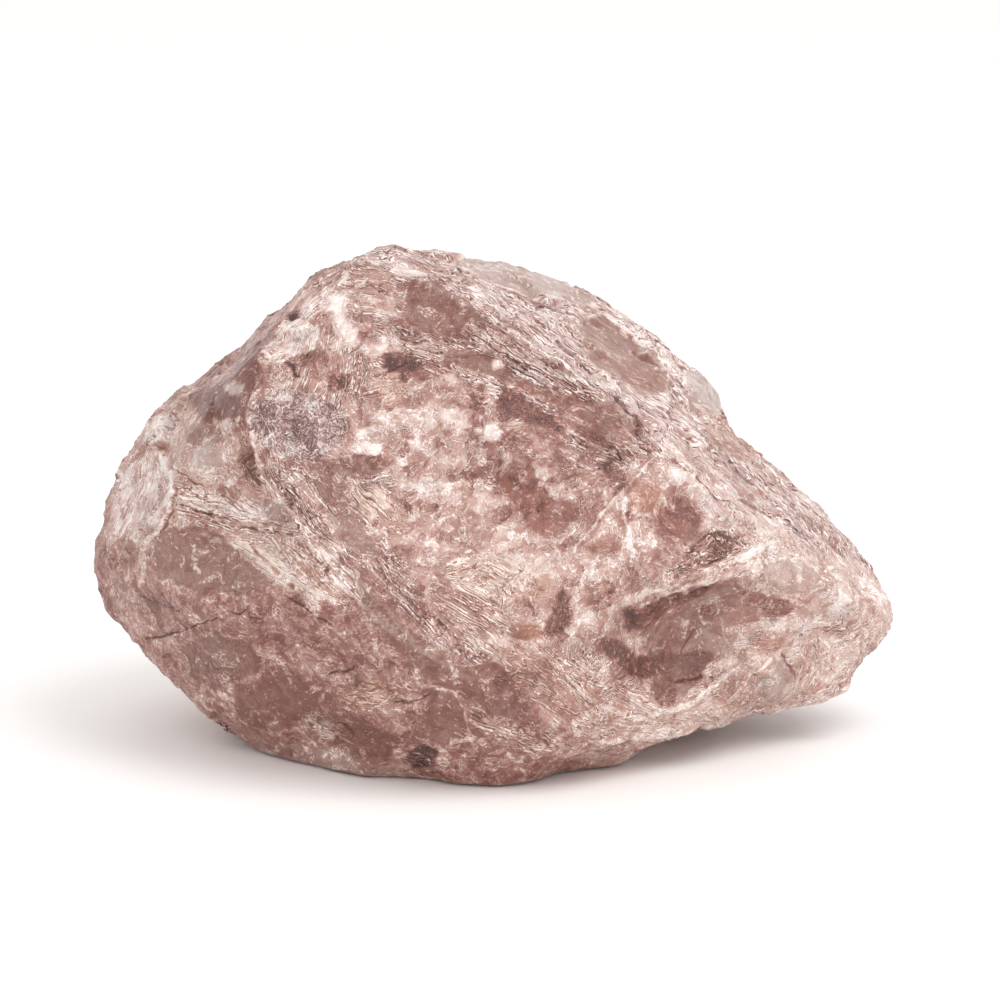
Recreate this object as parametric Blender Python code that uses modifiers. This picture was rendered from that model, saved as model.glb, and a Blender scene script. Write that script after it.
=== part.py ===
"""A raw chunk of smoky quartz: one solid, broken out of a larger crystal.

The stone starts as the convex hull of its named corners. Shallow dishes are then cut from it where
flakes have split away, the edges are worn round, and the floor plane cuts the flat patch that it
stands on. +X runs to its thin end, +Y away from its belly, +Z up. The origin lies on the floor,
under the middle of the stone.
"""

import math

import bmesh
import bpy
from mathutils import Matrix, Vector
from mathutils.bvhtree import BVHTree

# Driving dimensions, in metres.
LENGTH = 0.0915
DEPTH = 0.060
HEIGHT = 0.0558

# How much the whole surface is worn and waved.
GRAIN = 0.0009  # the size of the cells that the rounded surface is rebuilt from
WORN_PASSES = 2
SWELL_WIDTH, SWELL_HEIGHT = 0.013, 0.0016
RIPPLE_WIDTH, RIPPLE_HEIGHT = 0.0045, 0.0007
FACETS = 7600  # triangles that are left on the stone before its foot is cut flat
FLOOR_BITE = 0.0004  # how far below the floor the hull reaches, so that the cut leaves a clean face

SMOKE = (0.42, 0.30, 0.27, 1.0)
SMOKE_ROUGHNESS = 0.35

# The corners, as percentages: of half the length, of half the depth, and of the height.
SKYLINE = (
    (-103, 6.5, 34),
    (-100.5, 13.5, 40),
    (-97.5, 16.5, 48),
    (-94, 20, 55),
    (-87.5, 23.5, 64),
    (-80, 20, 69.5),
    (-69.5, 13.5, 75.5),
    (-55.5, 6.5, 88),
    (-43, 3.5, 96),
    (-36.5, 3.5, 99),
    (-27, 10, 101),
    (-17, 20, 99.5),
    (-3.5, 30, 97),
    (7.5, 36.5, 94),
    (22, 46.5, 89),
    (44, 53.5, 78),
    (55, 56.5, 71),
    (58, 56.5, 65),
    (62, 48, 55),
    (84, 36.5, 42.5),
    (96.5, 23.5, 31.5),
    (102, 13.5, 26),
    (102.5, 6.5, 23),
    (95.5, -6.5, 15.5),
    (89, -13.5, 9),
    (76.5, -23.5, 10.5),
    (51, -43.5, 8.5),
    (39.5, -50, 7.5),
)
CREST = (
    (-35, -6.5, 99),
    (-18, -16.5, 97.5),
    (-3, -26.5, 92),
    (11.5, -33.5, 85.5),
    (25, -40, 77.5),
    (38, -46.5, 69),
    (50, -50, 60),
    (60.5, -56.5, 47),
    (72.5, -46.5, 42),
    (88.5, -30, 33.5),
)
SHOULDER = (
    (32.5, -70, 57),
    (26.5, -90, 38),
    (47, -76.5, 41.5),
)
BELLY = (
    (-58, -30, 83.5),
    (-60, -53.5, 69),
    (-42, -83.5, 46.5),
    (-80.5, -30, 58.5),
    (-82.5, -43.5, 41.5),
    (-38.5, -93.5, 34.5),
    (-71, -60, 35.5),
    (-3, -100, 22.5),
    (16, -90, 12),
    (31, -73.5, 8),
    (-70, -30, 7.5),
    (-84, -20, 16.5),
    (-92, -10, 21),
    (-99, 0, 25),
)
BACK = (
    (-84, 62, 40),
    (-62, 82, 62),
    (-28, 72, 88),
    (-34, 101, 34),
    (8, 97, 62),
    (22, 99, 28),
    (52, 84, 44),
    (76, 60, 24),
    (-70, 74, 16),
    (60, 62, 9),
)
FOOT = (
    (-58.5, -31.5, 0),
    (-47.5, -49.5, 0),
    (-29.5, -68.5, 0),
    (-0.5, -80.5, 0),
    (8, -77, 0),
    (28, -55, 0),
    (30, -40, 0),
    (33, 0, 0),
    (24, 58, 0),
    (-24, 72, 0),
    (-56, 46, 0),
    (-66, 4, 0),
)

# Where flakes split away. Each is seen from the heart of the stone: its bearing from +X towards +Y and
# its rise above the level, in degrees; then the dish's length, width and depth in metres, and how far
# its length is turned from the level, in degrees.
HEART = (0.0, 0.0, 0.47)
DISHES = {
    "broad_face": (-110, 20, 0.036, 0.024, 0.0030, -38),
    "crest_shadow": (-68, 42, 0.033, 0.012, 0.0020, -42),
    "crown_window": (-120, 66, 0.018, 0.010, 0.0012, -25),
    "dark_hollow": (-40, -19, 0.022, 0.014, 0.0046, 15),
    "hollow_wing": (-56, -16, 0.013, 0.009, 0.0030, 60),
    "shoulder_pocket": (-40, 4, 0.014, 0.011, 0.0022, -30),
    "thin_end_flake": (-14, -20, 0.015, 0.010, 0.0012, 15),
    "left_shell": (-172, 6, 0.025, 0.016, 0.0016, 80),
    "left_window": (-172, 32, 0.014, 0.011, 0.0010, 50),
    "left_fan": (-150, 6, 0.024, 0.014, 0.0014, -30),
    "far_window": (27, 36, 0.024, 0.011, 0.0014, -38),
    "left_brow": (174, 29, 0.015, 0.013, 0.0017, 60),
    "crest_notch": (22, 13, 0.017, 0.012, 0.0030, -40),
    "low_left_flake": (-137, -26, 0.026, 0.013, 0.0014, 15),
    "foot_notch": (-113, -48, 0.010, 0.008, 0.0013, 0),
    "foot_chip": (-64, -48, 0.009, 0.007, 0.0012, 10),
    "under_lip": (-32, -46, 0.016, 0.012, 0.0018, 0),
    "under_end": (-17, -36, 0.022, 0.016, 0.0016, 0),
    "back_face": (98, 20, 0.034, 0.024, 0.0034, 25),
    "back_shell": (142, 2, 0.026, 0.019, 0.0024, 60),
    "back_low_flake": (62, -14, 0.024, 0.015, 0.0022, -20),
    "back_crown": (120, 58, 0.024, 0.014, 0.0018, -10),
    "end_flake": (12, 2, 0.018, 0.012, 0.0014, 40),
}


def clear_scene():
    for obj in list(bpy.data.objects):
        bpy.data.objects.remove(obj)


def new_collection(name):
    collection = bpy.data.collections.new(name)
    bpy.context.scene.collection.children.link(collection)
    return collection


def place(shares):
    """A corner's place in metres, from its three percentages."""
    sides = (LENGTH / 2, DEPTH / 2, HEIGHT)
    return Vector([share / 100 * side for share, side in zip(shares, sides)])


def hull_mesh():
    """The convex hull of all the corners. Its foot reaches a little below the floor."""
    bm = bmesh.new()
    for shares in SKYLINE + CREST + SHOULDER + BELLY + BACK:
        bm.verts.new(place(shares))
    for shares in FOOT:
        bm.verts.new(place(shares) - Vector((0, 0, FLOOR_BITE)))
    made = bmesh.ops.convex_hull(bm, input=bm.verts)
    inner = {item for item in made["geom_interior"] if isinstance(item, bmesh.types.BMVert)}
    bmesh.ops.delete(bm, geom=list(inner), context="VERTS")
    bmesh.ops.recalc_face_normals(bm, faces=bm.faces)
    mesh = bpy.data.meshes.new("stone")
    bm.to_mesh(mesh)
    bm.free()
    return mesh


def tree_of(mesh):
    bm = bmesh.new()
    bm.from_mesh(mesh)
    tree = BVHTree.FromBMesh(bm)
    bm.free()
    return tree


def dish_matrix(tree, bearing, rise, length, width, depth, turn):
    """Places a unit sphere so that it cuts a dish of this size where the direction meets the hull."""
    heart = Vector(HEART[:2] + (HEART[2] * HEIGHT,))
    bearing, rise = math.radians(bearing), math.radians(rise)
    way = Vector((math.cos(bearing) * math.cos(rise), math.sin(bearing) * math.cos(rise), math.sin(rise)))
    spot, out, _, _ = tree.ray_cast(heart, way)
    radius = (length * length / 4 + depth * depth) / (2 * depth)
    centre = spot + out * (radius - depth)
    level = Vector((0, 0, 1)).cross(out).normalized()
    along = Matrix.Rotation(math.radians(turn), 3, out) @ level
    across = out.cross(along)
    turned = Matrix((along, across, out)).transposed().to_4x4()
    squeeze = Matrix.Diagonal((radius, radius * width / length, radius, 1))
    return Matrix.Translation(centre) @ turned @ squeeze


def add_dishes(stone, cutters):
    """Cuts every dish with a sphere that is squeezed to the dish's width."""
    tree = tree_of(stone.data)
    for name, sizes in DISHES.items():
        bm = bmesh.new()
        bmesh.ops.create_icosphere(bm, subdivisions=5, radius=1.0)
        bmesh.ops.transform(bm, matrix=dish_matrix(tree, *sizes), verts=bm.verts)
        mesh = bpy.data.meshes.new(name)
        bm.to_mesh(mesh)
        bm.free()
        ball = bpy.data.objects.new("cut_" + name, mesh)
        cutters.objects.link(ball)
        ball.hide_render = True
        ball.display_type = "WIRE"
        cut = stone.modifiers.new(name, "BOOLEAN")
        cut.operation = "DIFFERENCE"
        cut.object = ball


def wear(stone):
    """Rebuilds the surface in even cells and rounds its edges."""
    rebuilt = stone.modifiers.new("rebuilt", "REMESH")
    rebuilt.mode = "VOXEL"
    rebuilt.voxel_size = GRAIN
    worn = stone.modifiers.new("worn", "SMOOTH")
    worn.factor = 0.5
    worn.iterations = WORN_PASSES


def wave(stone, name, kind, width, height):
    """Lifts and sinks the surface by a pattern of this width."""
    pattern = bpy.data.textures.new(name, kind)
    pattern.noise_scale = width
    lift = stone.modifiers.new(name, "DISPLACE")
    lift.texture = pattern
    lift.texture_coords = "LOCAL"
    lift.mid_level = 0.5
    lift.strength = height


def thin_out(stone):
    """Keeps the triangles that the shape needs."""
    graph = bpy.context.evaluated_depsgraph_get()
    stone.update_tag()
    bpy.context.view_layer.update()
    dense = stone.evaluated_get(graph).to_mesh()
    dense.calc_loop_triangles()
    share = FACETS / len(dense.loop_triangles)
    stone.evaluated_get(graph).to_mesh_clear()
    thinned = stone.modifiers.new("thinned", "DECIMATE")
    thinned.ratio = share


def cut_foot(stone, cutters):
    """The floor plane cuts the flat patch that the stone stands on."""
    bm = bmesh.new()
    bmesh.ops.create_cube(bm, size=1.0)
    slab = Matrix.Translation((0, 0, -HEIGHT / 2)) @ Matrix.Diagonal((2 * LENGTH, 2 * DEPTH, HEIGHT, 1))
    bmesh.ops.transform(bm, matrix=slab, verts=bm.verts)
    mesh = bpy.data.meshes.new("floor_slab")
    bm.to_mesh(mesh)
    bm.free()
    slab = bpy.data.objects.new("cut_floor", mesh)
    cutters.objects.link(slab)
    slab.hide_render = True
    slab.display_type = "WIRE"
    cut = stone.modifiers.new("foot", "BOOLEAN")
    cut.operation = "DIFFERENCE"
    cut.object = slab


def smoky_quartz():
    material = bpy.data.materials.new("smoky_quartz")
    material.use_nodes = True
    shader = material.node_tree.nodes["Principled BSDF"]
    shader.inputs["Base Color"].default_value = SMOKE
    shader.inputs["Roughness"].default_value = SMOKE_ROUGHNESS
    shader.inputs["Metallic"].default_value = 0.0
    return material


def build():
    clear_scene()
    parts = new_collection("smoky_quartz")
    cutters = new_collection("cutters")
    stone = bpy.data.objects.new("stone", hull_mesh())
    parts.objects.link(stone)
    stone.data.materials.append(smoky_quartz())
    add_dishes(stone, cutters)
    wear(stone)
    wave(stone, "swell", "CLOUDS", SWELL_WIDTH, SWELL_HEIGHT)
    wave(stone, "ripple", "CLOUDS", RIPPLE_WIDTH, RIPPLE_HEIGHT)
    thin_out(stone)
    cut_foot(stone, cutters)


build()
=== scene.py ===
"""A raw chunk of smoky quartz on a pale table.

The stone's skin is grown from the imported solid. It is rebuilt in fine cells, named places and lines are
laid on it, and a geometry tree then breaks it into facets, scoops, ledges and hackle. Healed fractures
with mineral specks on them lie inside. Lengths are in metres unless a name says millimetres. Places and
lines are given as the camera sees them, in pixels of its 1000 x 1000 view, and laid on the stone from there.
"""

import math

import bmesh
import bpy
import numpy as np
from mathutils import Matrix, Vector, noise
from mathutils.bvhtree import BVHTree


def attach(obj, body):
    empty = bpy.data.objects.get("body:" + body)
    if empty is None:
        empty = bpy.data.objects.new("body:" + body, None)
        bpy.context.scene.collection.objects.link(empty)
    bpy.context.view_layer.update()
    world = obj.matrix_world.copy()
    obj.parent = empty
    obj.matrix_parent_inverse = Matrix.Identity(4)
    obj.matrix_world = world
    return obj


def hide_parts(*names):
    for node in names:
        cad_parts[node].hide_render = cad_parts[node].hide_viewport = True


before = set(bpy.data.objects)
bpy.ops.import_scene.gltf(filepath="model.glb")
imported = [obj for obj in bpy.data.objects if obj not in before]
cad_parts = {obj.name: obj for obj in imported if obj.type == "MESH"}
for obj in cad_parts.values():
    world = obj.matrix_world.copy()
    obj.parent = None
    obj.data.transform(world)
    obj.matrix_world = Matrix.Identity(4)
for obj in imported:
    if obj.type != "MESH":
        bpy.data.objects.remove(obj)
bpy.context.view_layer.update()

MM = 0.001

# ---------------------------------------------------------------- the camera's view
VIEW_SIZE = 1000
VIEW_FOCAL = 3915.0  # in pixels of the view
SENSOR_MM = 36.0
CAMERA_ELEVATION = math.radians(12.0)
CAMERA_DISTANCE = 0.450
CAMERA_TARGET = Vector((0.0008, 0.0, 0.0272))
PIXELS_PER_MM = VIEW_FOCAL / CAMERA_DISTANCE * MM

# ---------------------------------------------------------------- the places on the stone
SKIN_CELL = 0.00047
SKIN_SMOOTHING = 8  # passes
PLACE_EDGE_MM = 0.4  # the width over which a small place turns into the next
WIDE_EDGE_MM = 1.8  # and a wide one
SMALL_PLACE = 40  # pixels across
WIDE_PLACE = 100
AS_DRAWN = 0.9  # how far the edge of a small place follows its outline and not the splinters
LINE_REACH_MM = 1.0
LINE_WIDTH = 0.3  # what the width of every line is stored as
MARGIN = 30  # pixels looked at round a place
LINE_MARGIN = 40

# The widths, in millimetres, over which the skin's own looks and the edges of the places wander.
BROAD_MM = 13.0
DRIFT_MM = 6.0
FINE_MM = 1.1
JAG_MM = 1.0

# Places on the side that the camera sees, each laid over the ones before it: name, then its tone from
# dark to white, how stringy it is, how clear, how warm (below 0 it is grey), and its outline.
# Their tones hold painted light and shade as well as the stone's own colour: places towards the crest on the
# upper right are drawn lighter, and places on the underside at the lower left darker, as the light falls on
# them.
PLACES = {
    "front": (0.50, 0.35, 0.1, 0.08, [
        (80, 560), (100, 470), (170, 390), (250, 320), (340, 240), (440, 235), (560, 275), (700, 380),
        (800, 480), (900, 600), (880, 660), (800, 730), (560, 800), (400, 800), (250, 770), (150, 690)]),
    "crest": (0.63, 0.9, 0.0, 0.0, [
        (330, 280), (390, 240), (460, 240), (560, 270), (640, 310), (710, 370), (750, 430), (830, 510),
        (900, 590), (900, 640), (820, 600), (740, 550), (716, 510), (690, 472), (660, 450), (628, 414),
        (580, 372), (520, 326), (470, 302), (430, 284), (385, 272)]),
    "crown_slope": (0.53, 0.7, 0.0, 0.0, [
        (350, 285), (420, 280), (470, 302), (520, 326), (580, 372), (640, 424), (655, 455), (610, 470),
        (560, 440), (500, 400), (440, 372), (380, 350)]),
    "left_top": (0.60, 0.5, 0.0, 0.05, [
        (262, 350), (300, 312), (340, 285), (390, 290), (400, 350), (410, 400), (350, 430), (270, 400)]),
    "left_wing": (0.62, 0.34, 0.2, 0.12, [
        (120, 440), (180, 400), (225, 420), (255, 470), (300, 530), (350, 590), (330, 610), (240, 560),
        (160, 530), (110, 520)]),
    "face": (0.60, 0.2, 0.0, 0.05, [
        (345, 400), (400, 385), (450, 375), (490, 390), (505, 440), (505, 480), (540, 530), (600, 560),
        (620, 600), (590, 660), (540, 680), (470, 650), (420, 600), (385, 540), (380, 470), (340, 450)]),
    "inner_slope": (0.50, 0.6, 0.0, 0.0, [
        (262, 460), (345, 452), (400, 480), (390, 540), (430, 610), (490, 650), (560, 700), (520, 700),
        (430, 660), (350, 590), (300, 525)]),
    "belly": (0.42, 0.15, 0.38, 0.0, [
        (90, 560), (130, 535), (200, 525), (270, 570), (340, 610), (400, 640), (470, 672), (530, 700),
        (560, 735), (650, 745), (640, 770), (520, 800), (360, 790), (230, 750), (150, 700), (90, 620)]),
    "shoulder": (0.56, 0.22, 0.1, 0.05, [
        (640, 462), (680, 465), (712, 500), (722, 545), (700, 566), (650, 585), (625, 600), (625, 500)]),
    "thin_end": (0.69, 0.36, 0.2, 0.08, [
        (730, 552), (790, 545), (850, 555), (900, 595), (900, 640), (860, 665), (800, 690), (770, 640),
        (745, 600)]),
    "lip": (0.67, 0.5, 0.15, 0.25, [
        (470, 640), (520, 632), (600, 668), (650, 690), (700, 692), (745, 662), (800, 650), (868, 640),
        (866, 680), (800, 712), (700, 738), (610, 748), (556, 722), (520, 690)]),
    # smooth windows
    "top_pane": (0.87, 0.1, 0.6, 0.15, [
        (446, 262), (480, 250), (530, 262), (575, 285), (600, 306), (560, 300), (520, 290), (480, 280)]),
    "far_window": (0.50, 0.1, 0.9, 0.25, [
        (582, 316), (604, 314), (622, 330), (644, 344), (656, 362), (670, 386), (655, 394), (626, 386),
        (600, 372), (588, 352), (580, 334)]),
    "far_small_window": (0.60, 0.1, 0.8, 0.3, [
        (686, 396), (700, 388), (712, 400), (717, 412), (699, 418), (690, 410)]),
    "crest_lobe": (0.92, 0.2, 0.6, 0.05, [
        (684, 372), (702, 368), (722, 394), (730, 412), (716, 418), (698, 404), (686, 388)]),
    "crest_under": (0.52, 0.5, 0.1, 0.25, [
        (704, 424), (716, 414), (730, 410), (744, 436), (766, 456), (744, 462), (718, 448), (706, 438)]),
    "crest_far": (0.63, 0.7, 0.1, 0.05, [
        (744, 462), (766, 456), (800, 492), (830, 520), (866, 562), (846, 560), (800, 524), (764, 488)]),
    # painted highlight: a pale band along the crest ridges
    "crest_highlight_band": (0.70, 0.45, 0.1, 0.0, [
        (656, 434), (684, 440), (708, 462), (740, 488), (784, 524), (812, 552), (780, 556), (744, 544),
        (716, 506), (694, 474), (668, 454)]),
    "crest_lens": (0.76, 0.5, 0.1, 0.0, [
        (621, 397), (634, 408), (641, 423), (652, 431), (662, 437), (660, 443), (644, 436), (630, 422)]),
    "crest_lens_2": (0.66, 0.5, 0.2, 0.1, [
        (738, 484), (750, 486), (762, 494), (758, 499), (744, 496), (736, 490)]),
    "crest_lens_3": (0.34, 0.5, 0.2, 0.05, [(736, 498), (750, 502), (760, 508), (756, 512), (744, 508)]),
    "crown_window": (0.44, 0.15, 0.8, 0.0, [
        (404, 298), (402, 284), (416, 278), (434, 282), (452, 292), (472, 306), (484, 320), (468, 328),
        (452, 340), (434, 338), (414, 328), (402, 314)]),
    "crown_shade": (0.58, 0.6, 0.2, 0.0, [
        (470, 318), (500, 324), (524, 340), (552, 362), (540, 368), (512, 356), (484, 344), (456, 340)]),
    "crown_knot": (0.58, 0.2, 0.1, 0.05, [
        (347, 317), (360, 311), (372, 322), (373, 337), (364, 337), (352, 327)]),
    "crown_streak": (0.46, 0.5, 0.2, 0.1, [
        (408, 258), (432, 262), (454, 274), (448, 279), (428, 273), (410, 265)]),
    # painted shade: the face just below the crest ridge is drawn darker here, darkest in slope_grey, which is
    # also greyer in colour
    "slope_pane": (0.43, 0.4, 0.5, 0.0, [
        (452, 352), (500, 362), (560, 388), (610, 404), (640, 428), (642, 442), (600, 446), (566, 430),
        (536, 398), (490, 380), (456, 366)]),
    "slope_streaks": (0.54, 1.0, 0.1, 0.0, [
        (470, 332), (520, 345), (580, 388), (600, 404), (560, 392), (510, 370), (476, 350)]),
    "middle_window": (0.45, 0.0, 0.7, -0.1, [
        (526, 412), (546, 418), (566, 432), (570, 444), (554, 446), (536, 436)]),
    "slope_grey": (0.17, 0.3, 0.4, -0.15, [
        (498, 394), (506, 384), (520, 394), (540, 410), (562, 428), (562, 440), (540, 426), (520, 418),
        (502, 420), (497, 406)]),
    "slope_brown": (0.44, 0.1, 0.6, 0.05, [
        (442, 363), (448, 350), (470, 350), (496, 359), (512, 372), (500, 376), (478, 372), (458, 367)]),
    "brown_pool": (0.40, 0.0, 0.9, 0.05, [
        (498, 474), (516, 462), (536, 468), (544, 486), (562, 502), (582, 514), (568, 530), (548, 542),
        (532, 530), (518, 506), (506, 490)]),
    "left_window": (0.25, 0.0, 0.9, 0.0, [
        (190, 398), (206, 390), (222, 382), (234, 368), (250, 352), (263, 345), (263, 368), (264, 384),
        (256, 398), (250, 408), (248, 420), (236, 418), (226, 425), (212, 424), (200, 412)]),
    "left_window_glow": (1.0, 0.0, 0.6, 0.3, [(224, 386), (234, 380), (244, 386), (240, 396), (230, 396)]),
    "left_low_window": (0.66, 0.0, 0.8, 0.0, [
        (184, 428), (202, 422), (218, 429), (226, 441), (206, 446), (188, 442)]),
    "grey_glow": (0.85, 0.1, 0.5, 0.1, [
        (188, 452), (212, 442), (224, 452), (222, 466), (206, 474), (188, 468)]),
    "low_face_pane": (0.43, 0.1, 0.8, 0.0, [
        (304, 458), (336, 458), (372, 450), (392, 464), (380, 474), (350, 478), (352, 498), (340, 512),
        (322, 500), (312, 480)]),
    "low_face_pane_2": (0.61, 0.2, 0.7, 0.05, [
        (324, 514), (352, 512), (370, 534), (384, 560), (364, 560), (336, 538)]),
    "inner_pane": (0.46, 0.2, 0.6, 0.05, [
        (345, 562), (372, 578), (410, 622), (442, 652), (470, 668), (440, 678), (400, 656), (368, 618)]),
    "belly_pane": (0.49, 0.0, 1.0, 0.05, [
        (422, 728), (428, 706), (438, 692), (456, 700), (462, 714), (466, 734), (446, 744), (424, 738)]),
    "belly_right_pane": (0.41, 0.1, 0.7, 0.0, [
        (424, 658), (440, 662), (462, 672), (478, 664), (500, 662), (522, 672), (530, 694), (530, 716),
        (506, 724), (488, 714), (482, 702), (468, 702), (460, 690), (440, 682), (426, 676)]),
    "fold_shade": (0.10, 0.5, 0.1, -0.05, [
        (494, 684), (498, 674), (510, 668), (520, 670), (510, 678), (502, 684)]),
    "belly_top_pane": (0.58, 0.1, 0.7, 0.0, [
        (152, 548), (170, 530), (206, 528), (248, 548), (272, 580), (240, 590), (196, 588), (162, 576)]),
    "belly_smoke": (0.45, 0.1, 0.7, -0.1, [
        (180, 650), (214, 634), (250, 646), (262, 668), (216, 688), (188, 676)]),
    "belly_smoke_2": (0.40, 0.1, 0.7, -0.05, [
        (236, 690), (284, 668), (320, 694), (312, 722), (270, 732), (240, 716)]),
    "belly_smoke_3": (0.33, 0.1, 0.6, -0.05, [
        (318, 714), (362, 716), (400, 742), (384, 764), (340, 760)]),
    "belly_low": (0.62, 0.1, 0.5, 0.05, [
        (180, 700), (240, 730), (330, 750), (400, 762), (380, 778), (300, 770), (220, 745)]),
    "pocket": (0.45, 0.2, 0.5, 0.15, [
        (655, 514), (668, 500), (680, 496), (693, 499), (701, 516), (699, 536), (688, 545), (674, 538),
        (656, 535), (652, 524)]),
    "pocket_dark": (0.30, 0.2, 0.4, 0.1, [
        (668, 500), (682, 496), (692, 500), (698, 514), (690, 524), (676, 522), (664, 512)]),
    "pocket_shade": (0.34, 0.8, 0.0, 0.1, [
        (668, 574), (682, 562), (690, 546), (706, 532), (724, 529), (738, 546), (742, 554), (722, 562),
        (700, 569), (682, 574)]),
    "triangle_pane": (0.53, 0.1, 0.7, 0.1, [
        (579, 476), (590, 468), (602, 474), (610, 492), (606, 504), (592, 510), (582, 506)]),
    "dark_triangle": (0.20, 0.4, 0.2, 0.05, [
        (600, 461), (613, 463), (627, 479), (622, 487), (615, 498), (611, 488), (606, 474)]),
    "ring_speck": (0.42, 0.1, 0.1, 0.0, [(581, 452), (590, 447), (595, 455), (589, 462), (583, 462)]),
    "pyramid_pane": (0.63, 0.0, 0.2, 0.1, [
        (582, 546), (602, 522), (622, 500), (626, 530), (628, 556), (622, 566), (600, 566), (586, 560)]),
    "pyramid_pool": (0.42, 0.3, 0.3, 0.3, [
        (590, 544), (602, 536), (618, 534), (624, 540), (618, 556), (606, 566), (592, 564), (588, 554)]),
    "pyramid_panel": (0.48, 0.1, 0.4, 0.4, [
        (628, 492), (640, 480), (654, 482), (664, 492), (660, 508), (644, 510), (632, 518)]),
    # The darkest places of the hollow, under the shelf, at its side, on its step and at its tip, are painted
    # shade in the recess, together with the smoky colour seen deep inside.
    "hollow": (0.64, 0.1, 0.6, 0.0, [
        (626, 630), (626, 612), (646, 602), (676, 594), (712, 581), (742, 584), (764, 606), (756, 640),
        (738, 652), (722, 658), (706, 668), (696, 684), (680, 702), (662, 706), (648, 690), (650, 668)]),
    # painted shade: the dark band under the shelf
    "hollow_shade_under_shelf": (0.16, 0.1, 0.4, -0.1, [
        (624, 628), (626, 612), (638, 610), (650, 599), (662, 596), (684, 592), (714, 581), (704, 591),
        (684, 606), (672, 609), (662, 618), (646, 630), (632, 631)]),
    "hollow_side": (0.19, 0.1, 0.4, 0.0, [
        (594, 645), (602, 638), (616, 640), (628, 648), (636, 655), (622, 659), (608, 660), (599, 654)]),
    "hollow_floor": (0.53, 0.0, 0.8, 0.0, [
        (656, 628), (666, 616), (686, 608), (698, 604), (700, 624), (690, 640), (676, 652), (658, 648)]),
    "hollow_step": (0.20, 0.1, 0.5, 0.0, [
        (612, 666), (622, 658), (640, 656), (654, 657), (664, 651), (666, 664), (654, 676), (642, 679),
        (626, 674)]),
    "hollow_pane": (0.33, 0.0, 0.7, 0.05, [
        (682, 654), (698, 649), (714, 652), (713, 660), (704, 668), (700, 681), (688, 687), (677, 684),
        (680, 668)]),
    "hollow_fall": (0.44, 0.0, 0.7, 0.0, [
        (668, 654), (682, 652), (679, 672), (670, 686), (658, 702), (650, 690), (656, 674)]),
    "hollow_tip": (0.24, 0.2, 0.2, 0.0, [
        (658, 703), (668, 690), (675, 684), (677, 698), (672, 705), (662, 708)]),
    "hollow_vee": (0.76, 0.0, 0.7, 0.05, [
        (686, 648), (694, 634), (702, 626), (716, 634), (732, 648), (722, 658), (710, 652), (698, 648)]),
    "hollow_roof": (0.47, 0.0, 0.7, 0.0, [(702, 608), (714, 600), (720, 616), (722, 634), (704, 626)]),
    "hollow_right": (0.59, 0.1, 0.5, 0.2, [
        (711, 602), (745, 609), (753, 632), (745, 649), (730, 645), (716, 617)]),
    "end_shade": (0.40, 0.3, 0.2, 0.1, [
        (738, 588), (750, 590), (762, 594), (780, 599), (797, 602), (790, 613), (776, 617), (764, 612),
        (752, 605), (740, 600)]),
    "end_pane": (0.77, 0.2, 0.5, 0.15, [
        (762, 564), (788, 556), (812, 566), (826, 582), (808, 597), (786, 596), (768, 586)]),
    "end_shade_2": (0.56, 0.6, 0.0, 0.1, [
        (819, 628), (836, 623), (862, 621), (858, 630), (840, 637), (824, 635)]),
    "end_mark": (0.44, 0.2, 0.1, 0.1, [(821, 605), (826, 603), (830, 616), (826, 619)]),
    "lip_pane": (0.80, 0.1, 0.6, 0.15, [
        (757, 678), (768, 664), (784, 658), (791, 666), (797, 684), (789, 697), (772, 704), (758, 698)]),
    "lip_pool": (0.60, 0.1, 0.5, 0.1, [
        (726, 674), (738, 667), (747, 676), (740, 690), (730, 698), (721, 690)]),
    "lip_end_pane": (0.58, 0.4, 0.4, 0.05, [
        (804, 644), (820, 640), (840, 646), (843, 660), (828, 677), (808, 679), (802, 662)]),
    "under_lip": (0.58, 0.2, 0.4, 0.1, [
        (560, 748), (600, 746), (640, 742), (634, 756), (604, 768), (580, 760)]),
    # crust and dark spots
    "crust": (0.54, 0.3, 0.0, -0.6, [
        (252, 402), (282, 388), (322, 396), (350, 420), (342, 440), (322, 458), (300, 462), (268, 452),
        (250, 432)]),
    "crust_core": (0.30, 0.2, 0.0, -1.0, [(290, 416), (314, 420), (318, 440), (306, 462), (296, 440)]),
    "red_root": (0.32, 0.5, 0.1, 0.2, [
        (235, 436), (248, 438), (257, 460), (270, 483), (258, 489), (246, 474), (238, 456)]),
    "rim_pit": (0.05, 0.4, 0.0, -0.1, [(286, 314), (296, 306), (300, 314), (292, 324)]),
    "brown_patch": (0.38, 0.3, 0.1, 0.1, [
        (300, 352), (322, 350), (342, 370), (338, 384), (318, 380), (302, 368)]),
    "cross_dark": (0.18, 0.3, 0.2, 0.0, [
        (386, 352), (410, 350), (420, 364), (408, 384), (392, 380), (384, 366)]),
    "small_dark": (0.16, 0.2, 0.2, 0.0, [(326, 374), (342, 376), (346, 388), (334, 393), (326, 386)]),
    "curl_dark": (0.22, 0.2, 0.2, 0.0, [(470, 386), (484, 384), (487, 398), (475, 405), (467, 398)]),
    "diamond": (0.18, 0.3, 0.2, 0.05, [
        (562, 589), (569, 600), (574, 614), (567, 628), (560, 634), (546, 637), (543, 624), (553, 614),
        (557, 602)]),
    "diamond_speck": (0.0, 0.0, 0.0, 0.0, [(604, 585), (612, 583), (614, 590), (610, 596), (606, 591)]),
    # painted shade: the notch at the foot, by the table, drawn nearly black
    "foot_notch_shade": (0.02, 0.6, 0.0, 0.0, [(404, 758), (420, 744), (438, 750), (436, 764), (414, 768)]),
    "warm_pane": (0.35, 0.2, 0.5, 0.7, [
        (506, 630), (518, 622), (538, 624), (546, 634), (530, 644), (512, 640)]),
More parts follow.
